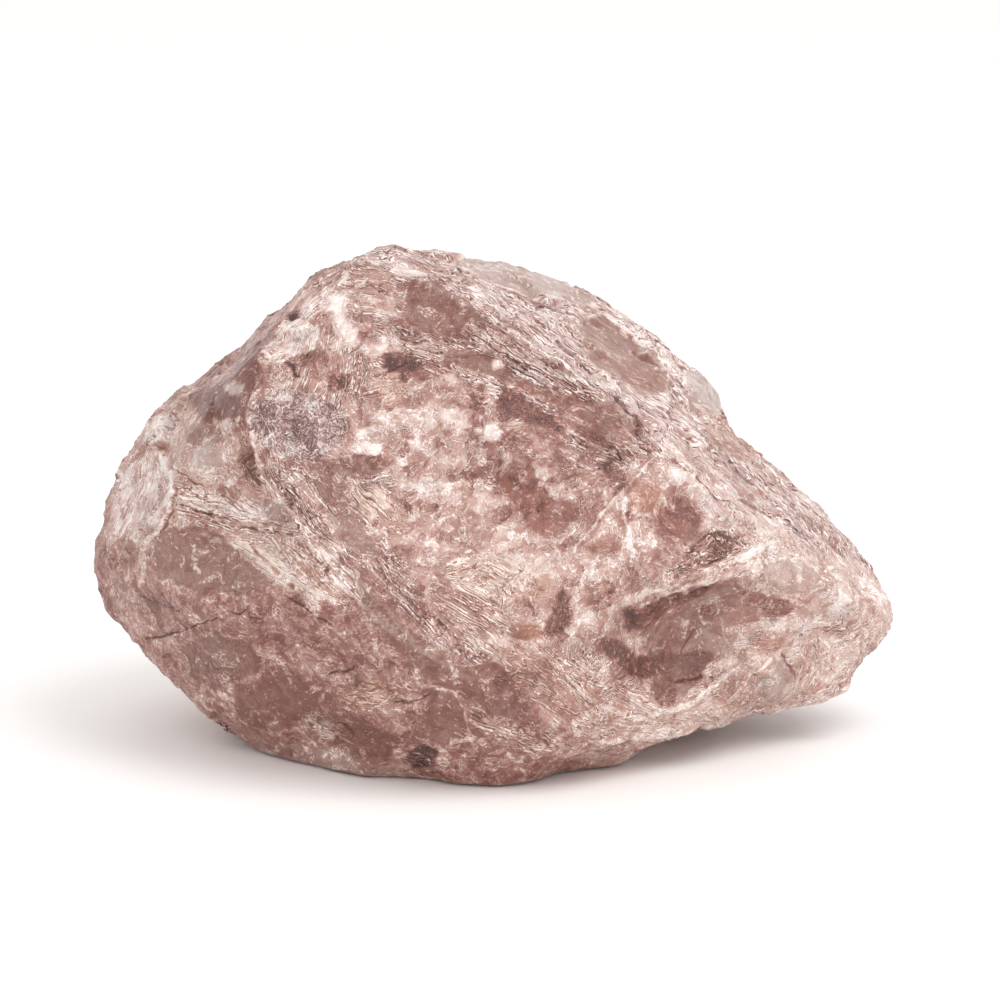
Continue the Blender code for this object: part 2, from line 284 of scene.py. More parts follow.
    "pyramid_side": (0.44, 0.3, 0.2, 0.1, [
        (578, 480), (592, 486), (602, 506), (594, 536), (580, 548), (576, 520)]),
    # pale and milky places
    "lip_back": (0.66, 0.4, 0.1, 0.3, [
        (740, 622), (780, 625), (786, 650), (770, 670), (746, 672), (736, 650)]),
    "lip_root": (0.47, 0.5, 0.1, 0.3, [
        (492, 644), (540, 642), (576, 666), (604, 706), (566, 718), (524, 694)]),
    "pale_lower_face": (0.73, 0.2, 0.0, 0.25, [
        (488, 556), (540, 552), (572, 562), (572, 582), (545, 600), (508, 604)]),
    "left_shell": (0.76, 0.4, 0.0, 0.05, [
        (120, 472), (138, 458), (164, 452), (173, 480), (171, 504), (160, 522), (142, 533), (118, 535),
        (110, 516), (110, 492)]),
    "shell_top": (0.88, 0.3, 0.0, 0.05, [
        (148, 424), (166, 413), (177, 424), (176, 438), (160, 446), (146, 442)]),
    "shell_foot": (0.60, 0.3, 0.0, 0.1, [
        (126, 536), (150, 534), (162, 530), (156, 544), (140, 550), (128, 546)]),
    "fan_pale": (0.80, 0.8, 0.0, 0.2, [
        (178, 486), (200, 488), (232, 498), (264, 508), (256, 518), (230, 519), (202, 511), (180, 502)]),
    "fan_dark": (0.52, 0.7, 0.1, 0.1, [
        (176, 504), (208, 514), (242, 524), (296, 530), (294, 540), (240, 533), (204, 524), (180, 516)]),
    "fan_smoke": (0.64, 0.1, 0.6, 0.0, [
        (262, 498), (284, 504), (296, 514), (290, 524), (268, 522), (258, 512)]),
    "fan_white": (0.88, 0.9, 0.0, 0.5, [
        (230, 538), (256, 540), (292, 566), (334, 600), (316, 602), (276, 580), (244, 558)]),
    "fan_low": (0.53, 0.6, 0.1, 0.25, [(256, 540), (296, 536), (322, 566), (344, 604), (300, 570)]),
    "cream_face": (0.64, 0.5, 0.0, 0.6, [(370, 378), (396, 372), (406, 388), (396, 404), (376, 396)]),
    "cream_knot": (0.76, 0.8, 0.0, 0.5, [
        (358, 490), (384, 490), (402, 514), (420, 530), (400, 536), (384, 530), (376, 536), (362, 516)]),
    "cream_middle": (0.78, 0.7, 0.0, 0.4, [
        (444, 560), (484, 550), (524, 562), (534, 588), (506, 602), (466, 598), (446, 582)]),
    "pale_beach": (0.47, 0.6, 0.0, 0.3, [(430, 590), (500, 600), (520, 630), (470, 640), (440, 620)]),
    "low_pale": (0.56, 0.6, 0.0, 0.2, [
        (560, 640), (600, 650), (640, 690), (600, 700), (560, 680)]),
    "belly_fringe": (0.49, 0.9, 0.0, 0.4, [
        (470, 700), (494, 724), (540, 730), (570, 746), (530, 756), (494, 740), (470, 722)]),
    "belly_web": (0.36, 0.8, 0.0, 0.6, [(330, 688), (380, 680), (400, 700), (370, 712), (336, 704)]),
    "belly_web_2": (0.47, 0.8, 0.0, 0.2, [(296, 716), (320, 710), (344, 728), (330, 742), (306, 732)]),
}

# Places with ragged edges, most of them milky: the same, laid over the others.
RAGGED = {
    "pyramid_flash": (1.06, 0.1, 0.0, 0.0, [
        (628, 524), (639, 515), (652, 514), (645, 523), (637, 534), (641, 550), (632, 556), (626, 542)]),
    "pyramid_snow": (0.72, 0.3, 0.0, 0.0, [
        (656, 462), (672, 461), (690, 473), (704, 492), (716, 512), (722, 530), (712, 530), (704, 512),
        (694, 494), (676, 482), (660, 476)]),
    "pocket_glint": (0.94, 0.0, 0.0, 0.0, [(670, 504), (674, 503), (675, 511), (671, 511)]),
    "milk_hollow": (0.54, 0.2, 0.0, 0.1, [(634, 642), (640, 637), (650, 642), (655, 650), (646, 652)]),
    "milk_root": (0.92, 0.1, 0.0, 0.1, [(585, 612), (592, 605), (599, 612), (594, 620), (587, 619)]),
    "left_slope_pale": (0.86, 0.5, 0.0, 0.0, [(276, 344), (300, 330), (322, 330), (314, 348), (290, 356)]),
    "milk_arc": (0.96, 0.1, 0.0, 0.0, [
        (330, 304), (338, 294), (349, 290), (351, 300), (346, 314), (352, 329), (362, 343), (378, 346),
        (386, 338), (393, 352), (372, 357), (352, 347), (339, 331), (331, 314)]),
    "milk_fleck": (0.66, 0.1, 0.0, 0.0, [(445, 376), (453, 374), (461, 380), (456, 385), (446, 382)]),
    "milk_crown": (0.74, 0.4, 0.0, 0.0, [(364, 296), (392, 298), (399, 314), (378, 320), (366, 312)]),
    "milk_top": (0.85, 0.3, 0.0, 0.0, [(388, 262), (408, 260), (430, 274), (410, 274), (394, 270)]),
    "milk_face": (0.92, 0.1, 0.0, 0.0, [(356, 432), (372, 426), (384, 440), (376, 454), (360, 452)]),
    "pale_face": (0.54, 0.1, 0.0, 0.0, [
        (398, 440), (430, 404), (470, 396), (488, 420), (470, 444), (420, 452)]),
    "milk_middle": (0.85, 0.0, 0.0, 0.0, [(440, 412), (458, 406), (470, 422), (462, 436), (444, 428)]),
    "milk_drop": (0.93, 0.0, 0.0, 0.0, [(476, 430), (490, 420), (504, 430), (496, 440), (482, 440)]),
    "milk_small": (0.93, 0.0, 0.0, 0.0, [(492, 358), (500, 356), (506, 368), (498, 372)]),
    "milk_speck": (0.87, 0.0, 0.0, 0.0, [(408, 440), (420, 438), (420, 448), (410, 448)]),
    "milk_edge": (0.74, 0.2, 0.0, 0.0, [
        (532, 466), (546, 464), (548, 482), (566, 486), (576, 500), (556, 498), (542, 486)]),
    "milk_tip": (0.58, 0.2, 0.0, 0.0, [(603, 490), (612, 486), (612, 500), (604, 500)]),
    "milk_shard": (0.52, 0.4, 0.0, 0.05, [
        (627, 500), (634, 520), (652, 514), (648, 530), (638, 548), (634, 560), (628, 540)]),
    "milk_end": (0.92, 0.4, 0.0, 0.0, [
        (833, 588), (842, 586), (850, 598), (847, 616), (836, 622), (832, 606)]),
    "lip_beach": (0.78, 0.4, 0.0, 0.1, [
        (700, 672), (714, 661), (742, 657), (764, 652), (756, 664), (728, 668), (708, 676)]),
    "end_beach": (0.94, 0.3, 0.0, 0.1, [
        (760, 618), (780, 619), (802, 612), (806, 624), (786, 630), (764, 630)]),
    "milk_wing": (0.72, 0.4, 0.0, 0.0, [(212, 418), (234, 416), (242, 424), (220, 428)]),
    "pale_low_face": (0.70, 0.1, 0.0, 0.05, [
        (404, 500), (440, 480), (500, 500), (530, 540), (500, 556), (440, 552), (406, 540)]),
    "pale_center": (0.66, 0.2, 0.0, 0.1, [
        (540, 552), (580, 548), (622, 560), (610, 590), (580, 596), (560, 580)]),
    "milk_corner": (0.54, 0.1, 0.0, 0.1, [(364, 528), (384, 526), (384, 538), (374, 536)]),
    "face_lens": (0.22, 0.2, 0.1, 0.1, [
        (395, 497), (404, 500), (412, 509), (416, 519), (407, 514), (399, 506)]),
    "pool_side": (0.56, 0.6, 0.0, 0.1, [
        (476, 468), (488, 465), (496, 480), (503, 498), (494, 494), (484, 480)]),
}

# Lines on the seen side: name, then width in millimetres, tone added, height in millimetres, and course.
# A tone added above 0 lights a ridge or an edge: a painted highlight as well as whiter broken stone.
LINES = {
    "crest_edge": (0.30, 0.14, 0.30, [
        (430, 286), (500, 325), (560, 362), (627, 422), (659, 447), (689, 470), (719, 514)]),
    "crest_rib": (0.25, 0.14, 0.2, [(470, 288), (530, 312), (560, 340), (600, 372), (640, 410), (700, 440)]),
    "crest_rib_2": (0.22, 0.14, 0.2, [(690, 440), (740, 470), (790, 520), (850, 565), (884, 600)]),
    "crest_rib_3": (0.22, 0.14, 0.2, [(640, 345), (690, 400), (730, 440), (790, 490), (840, 540)]),
    "pyramid_left": (0.16, 0.3, 0.3, [(623, 494), (602, 515), (582, 540), (574, 552)]),
    "pyramid_right": (0.2, 0.34, 0.4, [(624, 493), (624, 516), (630, 540), (631, 558)]),
    "pyramid_top": (0.14, 0.3, 0.3, [(655, 456), (641, 470), (628, 486), (624, 493)]),
    "shelf": (0.36, 0.20, 0.5, [(622, 602), (668, 583), (714, 571), (748, 555), (772, 545)]),
    "shelf_2": (0.2, 0.2, 0.2, [(640, 604), (680, 590), (720, 578), (752, 562)]),
    "left_ridge": (0.3, 0.25, 0.4, [
        (262, 352), (262, 380), (250, 410), (252, 440), (262, 475), (290, 515), (330, 575), (400, 640)]),
    "left_ridge_2": (0.3, 0.2, 0.3, [(282, 500), (310, 545), (340, 565), (380, 600), (420, 650), (470, 680)]),
    "lip_edge": (0.3, 0.2, 0.3, [
        (540, 716), (566, 730), (600, 742), (650, 738), (690, 732), (745, 715), (800, 704), (850, 686)]),
    "lip_rib": (0.3, 0.25, 0.2, [(520, 640), (560, 668), (590, 700), (640, 720)]),
    "lip_rib_2": (0.25, 0.25, 0.2, [(650, 716), (690, 704), (720, 680), (740, 668)]),
    "shell_rim": (0.25, 0.3, 0.3, [(160, 452), (172, 478), (170, 510), (160, 530), (146, 545)]),
    "fan_rib": (0.22, 0.3, 0.2, [(204, 535), (244, 548), (284, 572), (336, 604)]),
    "hollow_vee_left": (0.12, -0.28, 0.1, [(680, 654), (690, 634), (698, 622), (703, 603)]),
    "hollow_vee_right": (0.12, 0.2, 0.1, [(716, 600), (721, 622), (724, 636), (732, 648)]),
    "hollow_vee_cross": (0.12, -0.22, 0.1, [(699, 623), (710, 630), (722, 636)]),
    "window_rim": (0.2, 0.3, 0.2, [(586, 318), (604, 314), (640, 338), (662, 360), (690, 388)]),
    "pane_rim": (0.16, 0.25, 0.1, [(436, 690), (452, 690), (464, 710), (468, 736)]),
    "crown_rim": (0.3, 0.2, 0.2, [(262, 352), (290, 330), (320, 300), (350, 272)]),
    "face_rib": (0.2, 0.2, 0.1, [(384, 530), (388, 556), (400, 580)]),
    "long_crack": (0.10, -0.55, -0.3, [(148, 638), (160, 637), (178, 634), (198, 625), (216, 620)]),
    "upper_crack": (0.08, -0.35, -0.2, [(141, 596), (158, 604), (178, 613)]),
    "small_crack": (0.10, -0.45, -0.25, [(231, 612), (238, 616), (249, 606)]),
    "speckled_crack": (0.14, -0.35, -0.2, [(286, 596), (300, 604), (316, 616), (333, 625)]),
    "low_crack": (0.13, -0.6, -0.3, [(330, 673), (346, 671), (355, 667)]),
    "foot_crack": (0.10, -0.4, -0.2, [(395, 703), (412, 702), (430, 694)]),
    "low_left_crack": (0.13, -0.55, -0.3, [(340, 724), (346, 730), (352, 734)]),
    "fan_crack": (0.10, -0.35, -0.2, [(174, 502), (205, 513), (236, 521)]),
    "fan_arc": (0.09, -0.35, -0.2, [(245, 527), (270, 533), (298, 532)]),
    "fan_arc_2": (0.09, -0.3, -0.1, [(262, 524), (282, 524), (296, 520)]),
    "wing_crack": (0.10, -0.4, -0.2, [(172, 468), (184, 474), (196, 484), (204, 486)]),
    "shell_crack": (0.12, -0.35, -0.3, [(175, 488), (172, 508), (166, 524), (158, 534)]),
    "cross_crack": (0.08, -0.4, -0.2, [(386, 374), (398, 368), (416, 360)]),
    "left_pit": (0.28, -0.6, -0.3, [(287, 363), (294, 366), (296, 374)]),
    "face_crack": (0.08, -0.25, -0.1, [(440, 358), (480, 356), (520, 362)]),
    "pane_crack": (0.08, -0.3, -0.1, [(655, 700), (664, 690), (672, 684)]),
    "root_crack": (0.12, -0.4, -0.2, [(246, 460), (256, 478), (266, 488)]),
    "ridge_crack": (0.10, -0.35, -0.2, [(286, 510), (300, 530), (318, 560), (330, 578)]),
    "crest_gap": (0.2, -0.35, -0.2, [(614, 398), (628, 414), (640, 426)]),
    "crest_gap_2": (0.14, -0.45, -0.3, [(697, 477), (706, 488), (714, 498), (728, 501)]),
    "crest_gap_3": (0.12, -0.35, -0.2, [(672, 460), (682, 468), (690, 473)]),
    "crest_gap_4": (0.14, -0.35, -0.2, [(726, 462), (748, 472), (770, 486), (800, 510), (820, 530)]),
    "crest_gap_5": (0.12, -0.3, -0.2, [(712, 444), (717, 456), (722, 460)]),
    "crest_gap_6": (0.12, -0.3, -0.2, [(762, 512), (786, 522), (812, 540)]),
    "lip_crack": (0.14, -0.5, -0.3, [(783, 655), (790, 666), (795, 677)]),
    "lip_fold": (0.14, 0.3, 0.2, [(730, 698), (742, 688), (752, 674), (770, 658)]),
    "spider": (0.08, -0.4, -0.1, [(500, 690), (512, 676), (520, 672)]),
    "spider_2": (0.08, -0.4, -0.1, [(492, 680), (500, 690)]),
    "left_outline": (0.12, -0.3, 0.0, [(190, 396), (206, 382), (232, 362), (258, 344), (282, 322)]),
}

# The courses that the grain of the crystal follows on the seen side.
GRAIN = {
    "crest_low": [(350, 270), (440, 292), (520, 345), (600, 395), (660, 450), (705, 490), (760, 548)],
    "crest_middle": [(395, 255), (480, 292), (560, 345), (640, 405), (700, 450), (780, 520), (850, 580)],
    "crest_high": [(450, 255), (560, 290), (650, 350), (720, 420), (800, 510), (870, 600)],
    "slope": [(400, 330), (480, 358), (560, 400), (645, 445)],
    "crown": [(330, 290), (380, 296), (440, 312)],
    "left_top": [(200, 400), (270, 345), (340, 280)],
    "left_fall": [(330, 330), (320, 380), (300, 430)],
    "left_ridge": [(245, 410), (262, 475), (300, 525), (350, 580), (410, 640), (470, 680)],
    "inner_slope": [(300, 470), (350, 520), (400, 580), (460, 640)],
    "fan_top": [(176, 470), (220, 480), (270, 520), (330, 590)],
    "fan_middle": [(170, 502), (240, 522), (300, 530)],
    "fan_low": [(150, 520), (230, 545), (290, 580), (345, 625)],
    "shell": [(150, 445), (150, 480), (140, 510), (120, 545)],
    "shell_low": [(100, 540), (110, 590), (140, 640)],
    "belly": [(130, 600), (200, 615), (270, 610), (340, 640), (420, 690)],
    "belly_low": [(150, 670), (260, 725), (380, 755), (500, 775)],
    "belly_right": [(330, 690), (420, 700), (500, 730), (600, 755)],
    "beach": [(400, 560), (430, 590), (480, 620), (540, 660), (600, 710)],
    "lip": [(520, 690), (580, 725), (640, 735), (700, 728), (780, 705), (850, 670)],
    "lip_inner": [(610, 690), (660, 712), (720, 690), (760, 665)],
    "end_lines": [(812, 640), (822, 660), (806, 692)],
    "end_top": [(760, 555), (830, 585), (885, 600)],
    "end_low": [(760, 640), (830, 630), (890, 610)],
    "shelf": [(600, 612), (668, 586), (714, 573), (772, 545)],
    "pyramid": [(572, 562), (602, 524), (624, 493)],
    "pyramid_fall": [(630, 500), (636, 550), (640, 590)],
    "shoulder": [(655, 465), (700, 500), (722, 545)],
    "pocket": [(650, 570), (690, 550), (715, 530)],
    "hollow": [(610, 690), (650, 660), (700, 630), (740, 600)],
    "face_arc": [(430, 560), (480, 545), (530, 565), (540, 600)],
    "face": [(360, 440), (430, 420), (500, 440)],
    "diamond": [(552, 634), (562, 590)],
}


class Wire:
    """A node's output. Its operators add Math nodes, or Vector Math ones for vectors and colours."""

    def __init__(self, graph, socket):
        self.graph = graph
        self.socket = socket

    def out(self, name):
        """Another output of the same node."""
        return Wire(self.graph, shown(self.socket.node.outputs, name))

    def __add__(self, other):
        return self.graph.maths("ADD", self, other)

    def __sub__(self, other):
        return self.graph.maths("SUBTRACT", self, other)

    def __rsub__(self, other):
        return self.graph.maths("SUBTRACT", other, self)

    def __mul__(self, other):
        return self.graph.maths("MULTIPLY", self, other)

    def __truediv__(self, other):
        return self.graph.maths("DIVIDE", self, other)

    def __abs__(self):
        return self.graph.maths("ABSOLUTE", self)

    __radd__ = __add__
    __rmul__ = __mul__


def shown(sockets, name=None):
    """The first socket in use, or the one of this name."""
    return next(s for s in sockets if s.enabled and name in (None, s.name, s.identifier))


class Graph:
    """Adds nodes to a tree, for a material or for geometry."""

    def __init__(self, tree):
        self.tree = tree

    def node(self, kind, settings=None, sockets=None):
        """One node: its settings first, then the values or wires of its sockets."""
        made = self.tree.nodes.new(kind)
        for name, value in (settings or {}).items():
            if name == "stops":
                set_stops(made.color_ramp, value)
            else:
                setattr(made, name, value)
        for name, value in (sockets or {}).items():
            socket = made.inputs[name] if isinstance(name, int) else shown(made.inputs, name)
            if isinstance(value, Wire):
                self.tree.links.new(value.socket, socket)
            elif value is not None:
                socket.default_value = value
        outputs = [s for s in made.outputs if s.enabled]
        return Wire(self, outputs[0]) if outputs else made

    def maths(self, operation, *terms):
        """A Math node, or a Vector Math one where a term is a vector."""
        vector = any(isinstance(t, Wire) and t.socket.type in ("VECTOR", "RGBA") for t in terms)
        kind = "ShaderNodeVectorMath" if vector else "ShaderNodeMath"
        if vector:
            terms = [(t,) * 3 if isinstance(t, (int, float)) else t for t in terms]
        return self.node(kind, {"operation": operation}, dict(enumerate(terms)))

    def dot(self, a, b):
        return self.node("ShaderNodeVectorMath", {"operation": "DOT_PRODUCT"}, {0: a, 1: b}).out("Value")

    def step(self, value, low, high):
        """0 below low, 1 above high, and smooth between."""
        return self.node(
            "ShaderNodeMapRange",
            {"interpolation_type": "SMOOTHSTEP"},
            {"Value": value, "From Min": low, "From Max": high},
        )

    def noise(self, vector, scale, detail=3.0, roughness=0.55, distortion=0.0):
        return self.node(
            "ShaderNodeTexNoise",
            None,
            {"Vector": vector, "Scale": scale, "Detail": detail, "Roughness": roughness,
             "Distortion": distortion},
        )

    def cells(self, vector, scale, feature="F1"):
        return self.node("ShaderNodeTexVoronoi", {"feature": feature}, {"Vector": vector, "Scale": scale})

    def mix(self, factor, a, b):
        """A colour between a and b."""
        return self.node("ShaderNodeMix", {"data_type": "RGBA"}, {"Factor": factor, "A": a, "B": b})


def set_stops(ramp, stops):
    """Gives a colour ramp these places and colours."""
    while len(ramp.elements) > 1:
        ramp.elements.remove(ramp.elements[0])
    for index, (place, colour) in enumerate(stops):
        element = ramp.elements[0] if index == 0 else ramp.elements.new(place)
        element.position = place
        element.color = colour


def srgb(red, green, blue):
    """A colour from its screen values of 0 to 255."""
    shares = [value / 255 for value in (red, green, blue)]
    return tuple(s / 12.92 if s <= 0.04045 else ((s + 0.055) / 1.055) ** 2.4 for s in shares) + (1.0,)


# ---------------------------------------------------------------- the stone's skin
# How the stone breaks, in millimetres.
RELIEF = {
    "Facet width": 6.5,
    "Facet tilt": 0.09,
    "Chip width": 2.4,
    "Chip tilt": 0.08,
    "Shard width": 1.8,
    "Shard tilt": 0.11,
    "Scoop width": 5.0,
    "Scoop depth": 0.18,
    "Ledge height": 0.13,
    "Hackle height": 0.04,
    "Crust depth": 0.30,
}
LEDGE_COUNT = 14.0
FOOT_CLEARANCE_MM = 2.0  # the relief fades out over this height above the table
GRAIN_STRETCH = 0.075
COURSE_SHIFT_MM = (3.0, 7.0, 11.0)  # from each course's grain to the next one's, so that they differ
GRAINLESS = 0.3  # a place that is less stringy and less clear than this has no grain
SPLINTER_LENGTH = 2.0  # in widths
NOISE_SEED = 1  # not 0, which would take the time of day
# Away from the camera the grain runs from the crown of the stone to its thin end.
GRAIN_CROWN = Vector((-0.020, 0.004, 0.054))
GRAIN_END = Vector((0.047, 0.004, 0.011))
GRAIN_SPREAD = 0.004


def camera_axes():
    """The camera's place, and its right, up and forward directions."""
    cos, sin = math.cos(CAMERA_ELEVATION), math.sin(CAMERA_ELEVATION)
    forward = Vector((0, cos, -sin))
    return CAMERA_TARGET - forward * CAMERA_DISTANCE, Vector((1, 0, 0)), Vector((0, sin, cos)), forward


def drop(tree, pixels):
    """The places on the stone that the camera sees at these pixels."""
    eye, right, up, forward = camera_axes()
    places = []
    for x, y in pixels:
        way = forward * VIEW_FOCAL + right * (x - VIEW_SIZE / 2) + up * (VIEW_SIZE / 2 - y)
        spot = tree.ray_cast(eye, way.normalized())[0]
        if spot is None:
            spot = tree.find_nearest(eye + way.normalized() * CAMERA_DISTANCE)[0]
        places.append(spot)
    return np.array(places)


def in_view(points):
    """The pixels at which the camera sees these points."""
    eye, right, up, forward = camera_axes()
    from_eye = points - np.array(eye)
    depth = from_eye @ np.array(forward)
    across = VIEW_SIZE / 2 + VIEW_FOCAL * (from_eye @ np.array(right)) / depth
    down = VIEW_SIZE / 2 - VIEW_FOCAL * (from_eye @ np.array(up)) / depth
    return np.stack([across, down], 1)


def facing(points, normals):
    """How much each point faces the camera: 0 on the far side and 1 on the near one."""
    to_eye = np.array(camera_axes()[0]) - points
    to_eye /= np.linalg.norm(to_eye, axis=1)[:, None]
    return smooth(((normals * to_eye).sum(1) + 0.05) / 0.2)


def segments(line):
    """The two ends of each straight piece of a line."""
    line = np.array(line, float)
    return list(zip(line, line[1:]))


def depth_inside(spots, outline):
    """The distance of each spot from an outline, in pixels: above 0 inside it."""
    nearest = np.full(len(spots), np.inf)
    inside = np.zeros(len(spots), bool)
    for a, b in segments(outline + outline[:1]):
        run = b - a
        share = np.clip((spots - a) @ run / (run @ run), 0, 1)
        nearest = np.minimum(nearest, np.hypot(*(spots - a - share[:, None] * run).T))
        crossed = (a[1] > spots[:, 1]) != (b[1] > spots[:, 1])
        where = a[0] + run[0] * (spots[:, 1] - a[1]) / (run[1] if run[1] else 1e-9)
        inside ^= crossed & (spots[:, 0] < where)
    return np.where(inside, nearest, -nearest)


def beside(spots, line):
    """How far each spot is to one side of a line, and how far past its ends, in pixels."""
    aside = np.full(len(spots), np.inf)
    beyond = np.zeros(len(spots))
    pieces = segments(line)
    for index, (a, b) in enumerate(pieces):
        run = b - a
        size = math.hypot(*run)
        along = (spots - a) @ run / size
        share = np.clip(along, 0, size)
        away = np.hypot(*(spots - a - share[:, None] * run / size).T)
        side = np.sign((spots - a)[:, 0] * run[1] - (spots - a)[:, 1] * run[0])
        past = np.zeros(len(spots))
        if index == 0:
            past = np.maximum(past, -along)
        if index == len(pieces) - 1:
            past = np.maximum(past, along - size)
        nearer = away < np.abs(aside)
        aside = np.where(nearer, away * side, aside)
        beyond = np.where(nearer, past, beyond)
    return aside, beyond


def smooth(share):
    """0 below 0, 1 above 1, and an even curve between."""
    share = np.clip(share, 0, 1)
    return share * share * (3 - 2 * share)


def skin_mesh(stone):
    """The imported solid, rebuilt in fine even cells."""
    skin = bpy.data.objects.new("skin", stone.data.copy())
    bpy.context.scene.collection.objects.link(skin)
    bm = bmesh.new()
    bm.from_mesh(skin.data)
    bmesh.ops.remove_doubles(bm, verts=bm.verts, dist=1e-6)
    bm.to_mesh(skin.data)
    bm.free()
    rebuilt = skin.modifiers.new("rebuilt", "REMESH")
    rebuilt.mode = "VOXEL"
    rebuilt.voxel_size = SKIN_CELL
    worn = skin.modifiers.new("worn", "SMOOTH")
    worn.factor = 0.5
    worn.iterations = SKIN_SMOOTHING
    return settled(skin)


def settled(thing):
    """The object with its modifiers turned into plain mesh."""
    bpy.context.view_layer.update()
    graph = bpy.context.evaluated_depsgraph_get()
    mesh = bpy.data.meshes.new_from_object(thing.evaluated_get(graph))
    thing.modifiers.clear()
    old = thing.data
    thing.data = mesh
    bpy.data.meshes.remove(old)
    return thing


def columns(items, name, width=3):
    """A property of all these items, one row each."""
    values = np.empty(len(items) * width)
    items.foreach_get(name, values)
    return values.reshape(-1, width)


def store(mesh, name, values, domain="POINT"):
    """Keeps a value or a vector for every point, or for every corner of a face."""
    kind = "FLOAT" if values.ndim == 1 else "FLOAT_VECTOR"
    attribute = mesh.attributes.new(name, kind, domain)
    attribute.data.foreach_set("value" if kind == "FLOAT" else "vector", values.astype(np.float32).ravel())


def jagged(points, width, pull):
    """The points, each pulled towards the middle of the splinter that it belongs to."""
    along = np.array(GRAIN_END - GRAIN_CROWN)
    along /= np.linalg.norm(along)
    shorter = points - np.outer(points @ along, along) * (1 - 1 / SPLINTER_LENGTH)
    middles = np.array([noise.voronoi(Vector(p) / width)[1][0] for p in shorter]) * width
    middles += np.outer(middles @ along, along) * (SPLINTER_LENGTH - 1)
    return points + (middles - points) * pull


def wandering(points, width):
    """A smooth random vector at each point, from -1 to 1."""
    return np.array([noise.noise_vector(Vector(p) / width) for p in points])


def far_grain(points):
    """Grain coordinates that run from the crown to the thin end, all round the stone."""
    start, end = np.array(GRAIN_CROWN), np.array(GRAIN_END)
    to_start, to_end = start - points, end - points
    near, far = np.linalg.norm(to_start, axis=1), np.linalg.norm(to_end, axis=1)
    size = np.linalg.norm(end - start)
    axis = (end - start) / size
    side = np.cross(axis, (0, 1, 0))
    side /= np.linalg.norm(side)
    turn = np.arctan2((points - start) @ np.cross(axis, side), (points - start) @ side)
    angle = np.arccos(np.clip((to_start * to_end).sum(1) / (near * far + 1e-9), -1, 1))
    ring = size / 4 * (math.pi - angle)
    along = size / 2 * np.log((near + GRAIN_SPREAD) / (far + GRAIN_SPREAD))
    return np.stack([along * GRAIN_STRETCH, ring * np.cos(turn), ring * np.sin(turn)], 1)


def along_course(points, course):
    """Grain coordinates that run along one course: slowly along it, and across it as they are."""
    pieces = segments(course)
    nearest = np.full(len(points), np.inf)
    coordinates = np.zeros((len(points), 3))
    general = course[-1] - course[0]
    across = np.cross(general / np.linalg.norm(general), (0, 1, 0))
    across /= np.linalg.norm(across)
    start = 0.0
    for a, b in pieces:
        run = b - a
        size = np.linalg.norm(run)
        share = (points - a) @ run / size
        kept = np.clip(share, 0, size)
        offset = points - a - kept[:, None] * run / size
        away = np.linalg.norm(offset, axis=1)
        found = np.stack([(start + share) * GRAIN_STRETCH, offset @ across, offset[:, 1]], 1)
        nearer = away < nearest
        nearest = np.where(nearer, away, nearest)
        coordinates[nearer] = found[nearer]
        start += size
    return coordinates


def lay_grain(mesh, points, seen, strands, clear, bent_spots, tree):
    """Stores the grain of every face, in millimetres: that of the nearest course, or plain places."""
    faces = np.empty(len(mesh.loops), int)
    for polygon in mesh.polygons:
        faces[polygon.loop_start:polygon.loop_start + polygon.loop_total] = polygon.index
    corners = np.empty(len(mesh.loops), int)
    mesh.loops.foreach_get("vertex_index", corners)
    first = np.empty(len(mesh.polygons), int)
    mesh.polygons.foreach_get("loop_start", first)
    lead = corners[first]
    spots = bent_spots[lead]
    chosen = np.full(len(lead), -1)
    nearest = np.full(len(lead), np.inf)
    all_grain = [far_grain(points)]
    for index, line in enumerate(GRAIN.values(), 1):
        away = np.abs(beside(spots, line)[0])
        chosen = np.where(away < nearest, index, chosen)
        nearest = np.minimum(nearest, away)
        shift = np.array(COURSE_SHIFT_MM) * index * MM
        all_grain.append(along_course(points, drop(tree, line)) + shift)
    chosen[seen[lead] < 0.5] = 0
    all_grain.append(points)
    chosen[(strands[lead] < GRAINLESS) & (clear[lead] < GRAINLESS)] = len(all_grain) - 1
    stacked = np.stack(all_grain)
    store(mesh, "grain", stacked[chosen[faces], corners] / MM, "CORNER")


